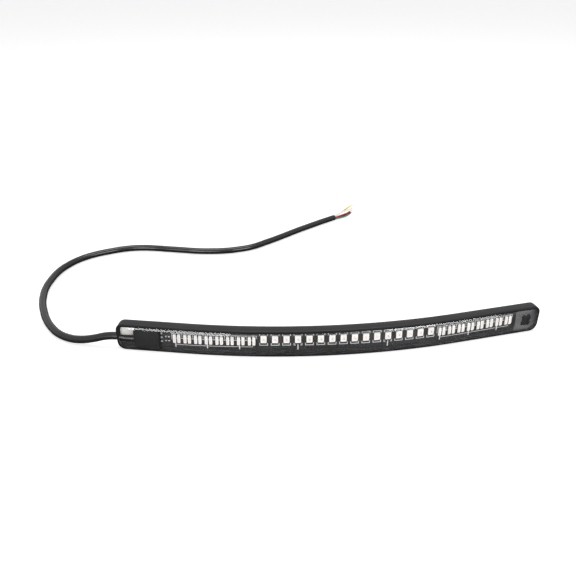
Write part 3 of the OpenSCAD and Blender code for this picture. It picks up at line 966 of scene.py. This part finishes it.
def lamp_materials(finishes):
    """Body, window, middle of the window and terminals of a lamp."""
    return [
        surface("Lamp body", finishes.lamp, 0.45, tint=0.05, grain=2400.0),
        surface("Lamp window", finishes.gel, 0.25, grain=900.0),
        surface("Lamp die", shaded(finishes.gel, 0.82)[:3], 0.22, tint=0.2, grain=700.0),
        tin_material(finishes),
    ]


def place_mesh(bm, verts, run, s, lift):
    """Moves vertices that were modelled about the origin to their place on the board."""
    turn = Matrix.Rotation(run.heading(s), 4, "Z")
    spot = run.spot(s, run.lamp_back, run.board_mid(s) + lift)
    bmesh.ops.transform(bm, matrix=Matrix.Translation(spot) @ turn, verts=verts)


def lamp_piece(scene, name, node, size, window, places):
    """One piece of the lamps at places of (s, height over the board's middle line)."""
    run = Run(scene)
    bm = bmesh.new()
    for s, lift in places:
        one = bmesh.new()
        lamp_mesh(one, *size, window)
        place_mesh(one, one.verts, run, s, lift)
        data = mesh_data("one lamp", one)
        bm.from_mesh(data)
        bpy.data.meshes.remove(data)
    mesh_piece(name, bm, lamp_materials(run.finishes), [node])


class STRIP_OT_brake_lamps(Operator):
    """Solders the sixteen wide lamps in the middle of the board"""

    bl_idname = "strip.brake_lamps"
    bl_label = "Brake lamps"

    def execute(self, context):
        board = context.scene.board_sizes
        size = (board.brake_width, board.brake_tall, board.brake_thick)
        for i in range(BRAKE_COUNT):
            place = (board.brake_start + i * board.brake_pitch, board.brake_lift)
            lamp_piece(
                context.scene, f"brake_lamp_{i + 1:02d}", f"brake_led_{i + 1:02d}", size,
                0.4 * MM, [place],
            )
        return {"FINISHED"}


class STRIP_OT_turn_lamps(Operator):
    """Solders the narrow turn signal lamps in pairs at both ends of the board"""

    bl_idname = "strip.turn_lamps"
    bl_label = "Turn lamps"

    def execute(self, context):
        board = context.scene.board_sizes
        size = (board.turn_width, board.turn_tall, board.turn_thick)
        for side, first in (("left", board.left_turn_start), ("right", board.right_turn_start)):
            for i in range(PAIR_COUNT):
                s = first + i * board.turn_pitch
                lamp_piece(
                    context.scene, f"{side}_turn_lamps_{i + 1}",
                    f"{side}_turn_led_pair_{i + 1}", size, 0.22 * MM,
                    [(s, board.turn_lift), (s + board.turn_pair, board.turn_lift)],
                )
        return {"FINISHED"}


class STRIP_OT_joint(Operator):
    """Makes the joint at the cable end: sleeve, solder, chip resistors and inner wires"""

    bl_idname = "strip.joint"
    bl_label = "Cable joint"

    def execute(self, context):
        run = Run(context.scene)
        self.sleeve(run)
        self.painted_highlight(run)
        self.solder(run)
        self.resistors(run)
        for wire in WIRES:
            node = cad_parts[f"inner_wire_{wire}"]
            node.data.materials.clear()
            node.data.materials.append(wire_material(wire))
        return {"FINISHED"}

    def sleeve(self, run):
        """A flat sleeve, open at the back, with round corners toward the cable."""
        joint, depth = run.joint, run.floor
        start = joint.sleeve_start
        end = start + joint.sleeve_length
        low = run.strip.wall + joint.sleeve_side_gap
        front = -joint.sleeve_proud
        bm = bmesh.new()
        slab(bm, (start, front, low), (end, depth, run.strip.strip_height - low))
        corners = [
            e for e in bm.edges
            if abs(e.verts[0].co.y - e.verts[1].co.y) > depth / 2
            and e.verts[0].co.x < start + HAIR
        ]
        round_off(bm, corners, joint.sleeve_corner, 8)
        rim = [e for e in bm.edges if all(v.co.y < front + HAIR for v in e.verts)]
        round_off(bm, rim, 0.25 * MM, 3)
        back = [f for f in bm.faces if all(abs(v.co.y - depth) < HAIR for v in f.verts)]
        bmesh.ops.delete(bm, geom=back, context="FACES_ONLY")
        bmesh.ops.recalc_face_normals(bm, faces=bm.faces)
        slice_along(bm, start, end, 1 * MM)
        run.apply(bm)
        skin = surface(
            "Joint sleeve", run.finishes.sleeve, 0.5, tint=0.3, streak=300.0, stretch=3.0,
            bump=0.3, relief=0.04, specular=0.2,
        )
        sleeve = mesh_piece("sleeve", bm, [skin], ["joint_sleeve"])
        wall = sleeve.modifiers.new("wall", "SOLIDIFY")
        wall.thickness = joint.sleeve_wall
        wall.offset = -1

    def painted_highlight(self, run):
        """A pale block in the corner between the cable, the wall and the sleeve: a painted
        highlight.
        """
        strip, joint = run.strip, run.joint
        bm = bmesh.new()
        edge = 0.9 * MM
        front = 1.2 * MM
        overlap = 0.4 * MM
        low = run.cable_height + joint.cable_d / 2 - overlap
        slab(
            bm, (strip.wall + edge, front, low),
            (joint.sleeve_start + edge, run.floor, strip.strip_height - strip.wall),
            bevel=1.5 * MM, segments=6,
        )
        slice_along(bm, 0, strip.strip_length, 1 * MM)
        run.apply(bm)
        # The block's pale colour is a painted highlight.
        white = surface("White filler", run.finishes.painted_highlight, 0.5, tint=0.2, grain=300.0, bump=0.3)
        mesh_piece("painted_highlight", bm, [white])

    def solder(self, run):
        """Three domed joints show beside the sleeve; two more lie under it."""
        bm = bmesh.new()
        end = run.joint.sleeve_start + run.joint.sleeve_length
        radius, tallness = 0.55 * MM, 1.25
        shown, shown_pitch = end + 0.75 * MM, 1.9 * MM
        hidden, hidden_pitch = end - 3 * MM, 3.4 * MM
        places = [(shown, z * shown_pitch) for z in (1, 0, -1)]
        places += [(hidden, z * hidden_pitch) for z in (1, -1)]
        for s, lift in places:
            verts = half_ball(bm, radius, 24, 12)
            for v in verts:
                v.co.y *= tallness
            place_mesh(bm, verts, run, s, lift)
        bmesh.ops.remove_doubles(bm, verts=bm.verts, dist=WELD)
        tin = tin_material(run.finishes)
        mesh_piece("solder_beads", bm, [tin], ["solder_joints"])

    def resistors(self, run):
        """Two chip resistors with bright ends."""
        chip = surface("Resistor body", run.finishes.chip, 0.35, tint=0.2, grain=1800.0)
        side, thick, half = 0.4 * MM, 0.48 * MM, 0.7 * MM
        end_side, end_thick = 0.425 * MM, 0.5 * MM
        cap_inner, cap_outer = 0.65 * MM, 1.1 * MM
        for i in range(2):
            bm = bmesh.new()
            slab(bm, (-side, -thick, -half), (side, 0, half), 0.03 * MM, segments=1)
            for way in (-1, 1):
                low, high = sorted((way * cap_inner, way * cap_outer))
                slab(bm, (-end_side, -end_thick, low), (end_side, 0, high), 0.08 * MM, index=1)
            s = run.board.left_turn_start + CHIP_PITCH * i - CHIP_LEAD
            place_mesh(bm, bm.verts, run, s, CHIP_LIFT)
            materials = [chip, tin_material(run.finishes)]
            mesh_piece(
                f"chip_{i + 1}", bm, materials, [f"chip_resistor_{i + 1}"]
            )


class STRIP_OT_sealant(Operator):
    """Puts the dab of dark sealant near the far end"""

    bl_idname = "strip.sealant"
    bl_label = "Sealant dab"
    # Place along the strip, height and diameter of each lobe, in millimetres.
    SPOTS = ((0, 0, 4.6), (1.1, 1.3, 3), (-1.2, -1, 3), (-1.3, 1.4, 2.4), (1.2, -1.2, 2.4))

    def execute(self, context):
        run = Run(context.scene)
        end_gap, drop = 5.9 * MM, 1.5 * MM
        place = run.strip.strip_length - end_gap
        middle = run.strip.strip_height / 2 - drop
        lobe_height, lumps, lump_share = 0.8, 7, 0.06
        bm = bmesh.new()
        for s, z, size in self.SPOTS:
            verts = half_ball(bm, size / 2 * MM, 32, 16)
            for v in verts:
                swell = 1 + lump_share * math.sin(lumps * math.atan2(v.co.z, v.co.x))
                v.co = (v.co.x * swell, v.co.y * lobe_height / size, v.co.z * swell)
            turn = Matrix.Rotation(run.heading(place), 4, "Z")
            spot = run.spot(place + s * MM, run.floor, middle + z * MM)
            bmesh.ops.transform(bm, matrix=Matrix.Translation(spot) @ turn, verts=verts)
        bmesh.ops.remove_doubles(bm, verts=bm.verts, dist=WELD)
        rubber = surface(
            "Sealant", run.finishes.sealant, 0.5, tint=0.3, grain=700.0, bump=0.6,
            relief=0.1, specular=0.15,
        )
        mesh_piece("sealant", bm, [rubber], ["sealant_dab"])
        return {"FINISHED"}


class STRIP_OT_tape(Operator):
    """Sticks the foam tape and its liner to the back"""

    bl_idname = "strip.tape"
    bl_label = "Tape and liner"

    def execute(self, context):
        run = Run(context.scene)
        back = run.strip.channel_depth
        outside = back + run.strip.tape_thick
        last = outside + run.strip.liner_thick
        foam = foam_material(run.finishes)
        liner = surface(
            "Release liner", run.finishes.liner, 0.3, tint=0.1, streak=600.0, stretch=8.0,
            bump=0.2,
        )
        self.ribbon(run, "foam_strip", back, outside, foam, "foam_white", "foam_tape")
        self.ribbon(run, "liner", outside, last, liner, "liner_red", "release_liner")
        return {"FINISHED"}

    def ribbon(self, run, name, near, far, material, slot, node):
        """A flat strip with rounded corners between two depths."""
        bm = bmesh.new()
        middle = run.strip.strip_height / 2
        half = run.strip.tape_width / 2
        start = run.strip.tape_inset
        end = run.strip.strip_length - start
        slab(bm, (start, near, middle - half), (end, far, middle + half))
        corners = [e for e in bm.edges if abs(e.verts[0].co.y - e.verts[1].co.y) > HAIR]
        round_off(bm, corners, TAPE_CORNER, 4)
        slice_along(bm, start, end)
        run.apply(bm)
        mesh_piece(name, bm, [material], [node])


def aim(item, place, target):
    """Puts a camera or a lamp in its place, facing its target."""
    item.location = place
    facing = Vector(target) - Vector(place)
    item.rotation_euler = facing.to_track_quat("-Z", "Y").to_euler()


# Name, place, target, width, height and power of each lamp.
SOFTBOXES = (
    ("Overhead lamp", (0.0, 0.15, 0.95), (0.0, 0.03, 0.0), 0.8, 0.4, 5.0),
    ("Left lamp", (-0.36, -0.77, 0.31), (-0.03, 0.02, 0.0), 0.45, 0.35, 3.4),
    ("Right lamp", (0.47, -0.72, 0.31), (0.03, 0.02, 0.0), 0.45, 0.35, 3.4),
    ("Left low lamp", (-0.4, -0.75, 0.075), (-0.05, 0.02, 0.0), 0.28, 0.11, 0.75),
    ("Right low lamp", (0.49, -0.7, 0.075), (0.05, 0.02, 0.0), 0.36, 0.1, 0.75),
)


class STRIP_OT_stage(Operator):
    """Sets the camera, the pale floor and the soft lamps"""

    bl_idname = "strip.stage"
    bl_label = "Stage"

    def execute(self, context):
        scene = context.scene
        settings = scene.stage_settings
        scene.view_settings.view_transform = "Standard"
        self.camera(scene, settings)
        self.world(scene, settings)
        self.floor(scene)
        for lamp in SOFTBOXES:
            self.softbox(*lamp)
        return {"FINISHED"}

    def camera(self, scene, settings):
        data = bpy.data.cameras.new("Camera")
        data.lens = settings.focal_length
        data.clip_start = 0.01
        data.clip_end = 20
        camera = add_object("Camera", data)
        aim(camera, settings.camera_place, settings.camera_aim)
        scene.camera = camera

    def world(self, scene, settings):
        """An even pale surround, which the camera and clear pieces see as white."""
        world = bpy.data.worlds.new("Studio")
        scene.world = world
        world.use_nodes = True
        tree = world.node_tree
        last = tree.nodes["Background"]
        last.inputs["Color"].default_value = (1, 1, 1, 1)
        last.inputs["Strength"].default_value = settings.world_level
        for ray, strength in (
            ("Is Glossy Ray", settings.shine_level), ("Is Transmission Ray", 1.0),
            ("Is Camera Ray", 1.0),
        ):
            values = {"Color": (1, 1, 1, 1), "Strength": strength}
            seen = add_node(tree, "ShaderNodeBackground", values)
            last = by_ray(tree, ray, last, seen)
        connect(tree, (last, 0, tree.nodes["World Output"], "Surface"))

    def floor(self, scene):
        """A pale floor that keeps the strip's soft shadow and is mirrored less bright."""
        bm = bmesh.new()
        bmesh.ops.create_grid(bm, x_segments=1, y_segments=1, size=4)
        bmesh.ops.translate(bm, vec=(0, 0, -0.05 * MM), verts=bm.verts)
        data = mesh_data("floor", bm)
        floor = add_object("floor", data)
        material = surface("Floor", scene.finishes.floor, 0.7, spread=0.05, tint=0.01, grain=300.0)
        tree = material.node_tree
        shader = tree.nodes["Principled BSDF"]
        glow = add_node(tree, "ShaderNodeEmission", {"Color": (1, 1, 1, 1), "Strength": 0.55})
        path = add_node(tree, "ShaderNodeLightPath")
        dark = add_node(tree, "ShaderNodeBsdfTransparent", {"Color": (0, 0, 0, 1)})
        part = add_node(tree, "ShaderNodeMath", {1: 0.75}, operation="MULTIPLY")
        dimmed = add_node(tree, "ShaderNodeMixShader")
        total = add_node(tree, "ShaderNodeAddShader")
        connect(
            tree, (path, "Is Glossy Ray", part, 0), (part, 0, dimmed, "Fac"),
            (shader, 0, dimmed, 1), (dark, 0, dimmed, 2), (dimmed, 0, total, 0),
            (by_ray(tree, "Is Camera Ray", dark, glow), 0, total, 1),
            (total, 0, tree.nodes["Material Output"], "Surface"),
        )
        data.materials.append(material)

    def softbox(self, name, place, target, width, height, power):
        """A plain rectangular lamp that faces its target."""
        data = bpy.data.lights.new(name, "AREA")
        data.shape = "RECTANGLE"
        data.size = width
        data.size_y = height
        data.energy = power
        lamp = add_object(name, data)
        aim(lamp, place, target)
        lamp.visible_camera = False


OPERATORS = (
    STRIP_OT_stage,
    STRIP_OT_cable,
    STRIP_OT_channel,
    STRIP_OT_lens,
    STRIP_OT_board,
    STRIP_OT_brake_lamps,
    STRIP_OT_turn_lamps,
    STRIP_OT_joint,
    STRIP_OT_sealant,
    STRIP_OT_tape,
)
GROUPS = {
    "strip_sizes": StripSizes,
    "board_sizes": BoardSizes,
    "joint_sizes": JointSizes,
    "finishes": Finishes,
    "stage_settings": StageSettings,
}


class STRIP_PT_panel(Panel):
    """Lists the strip's pieces and settings"""

    bl_idname = "STRIP_PT_panel"
    bl_label = "Tail strip"
    bl_space_type = "VIEW_3D"
    bl_region_type = "UI"
    bl_category = "Tail strip"

    def draw(self, context):
        layout = self.layout
        for operator in OPERATORS:
            layout.operator(operator.bl_idname)
        for name, group in GROUPS.items():
            box = layout.box()
            box.label(text=group.__doc__)
            settings = getattr(context.scene, name)
            for title in group.__annotations__:
                box.prop(settings, title)


def register():
    for group in GROUPS.values():
        bpy.utils.register_class(group)
    for name, group in GROUPS.items():
        setattr(bpy.types.Scene, name, PointerProperty(type=group))
    for operator in OPERATORS:
        bpy.utils.register_class(operator)
    bpy.utils.register_class(STRIP_PT_panel)


def unregister():
    bpy.utils.unregister_class(STRIP_PT_panel)
    for operator in reversed(OPERATORS):
        bpy.utils.unregister_class(operator)
    for name, group in reversed(GROUPS.items()):
        delattr(bpy.types.Scene, name)
        bpy.utils.unregister_class(group)


def main():
    """Makes the stage and every piece."""
    register()
    for operator in OPERATORS:
        group, name = operator.bl_idname.split(".")
        getattr(getattr(bpy.ops, group), name)()


if __name__ == "__main__":
    main()
